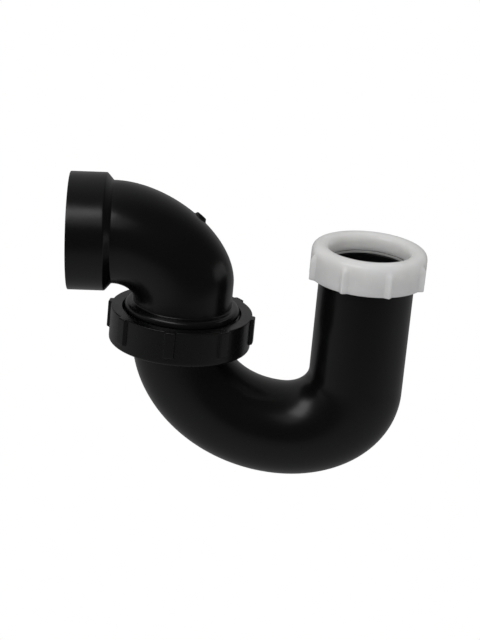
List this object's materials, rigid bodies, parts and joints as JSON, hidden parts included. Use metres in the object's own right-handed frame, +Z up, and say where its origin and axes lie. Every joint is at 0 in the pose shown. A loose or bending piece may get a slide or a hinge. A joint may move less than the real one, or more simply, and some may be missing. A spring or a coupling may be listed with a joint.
{
  "type": "p trap",
  "caption": "Black plastic P-trap with a union: elbow with drain hub, J-bend, lugged union nut and a white slip nut at the inlet.",
  "frame": {"origin": "centre of the drain hub's mouth", "axes": "+Z up along the union's and the inlet leg's axes, +X from the drain hub towards the inlet leg, +Y across the trap"},
  "size_m": [0.1736, 0.0714, 0.143],
  "materials": {
    "black_abs": "satin moulded ABS",
    "black_abs_nut": "satin moulded ABS",
    "gasket_rubber": "matt rubber",
    "white_nylon": "slightly translucent moulded nylon",
    "grey_washer": "matt polyethylene"
  },
  "bodies": {
    "elbow": {"trap_arm_elbow": "black_abs"},
    "gasket": {"union_gasket": "gasket_rubber"},
    "union_nut": {"union_nut": "black_abs_nut"},
    "j_bend": {"j_bend": "black_abs"},
    "washer": {"slip_washer": "grey_washer"},
    "slip_nut": {"slip_nut": "white_nylon"}
  },
  "joints": [
    {"name": "union_drop", "type": "slide", "parent": "elbow", "child": "gasket", "axis": [0, 0, -1], "range_m": [0, 0.0064]},
    {"name": "union_nut_turn", "type": "hinge", "parent": "gasket", "child": "union_nut", "pos_m": [0.05666, 0, -0.04178], "axis": [0, 0, -1], "range_deg": [0, 810]},
    {"name": "union_swivel", "type": "hinge", "parent": "gasket", "child": "j_bend", "pos_m": [0.05666, 0, -0.04178], "axis": [0, 0, 1], "range_deg": [-135, 135]},
    {"name": "slip_washer_lift", "type": "slide", "parent": "j_bend", "child": "washer", "axis": [0, 0, 1], "range_m": [0, 0.0064]},
    {"name": "slip_nut_turn", "type": "hinge", "parent": "washer", "child": "slip_nut", "pos_m": [0.14346, 0, -0.04178], "axis": [0, 0, 1], "range_deg": [0, 810]}
  ],
  "couplings": [
    {"joint": "union_drop", "follows": "union_nut_turn", "m_per_rad": 0.00044563},
    {"joint": "slip_washer_lift", "follows": "slip_nut_turn", "m_per_rad": 0.00044563}
  ]
}
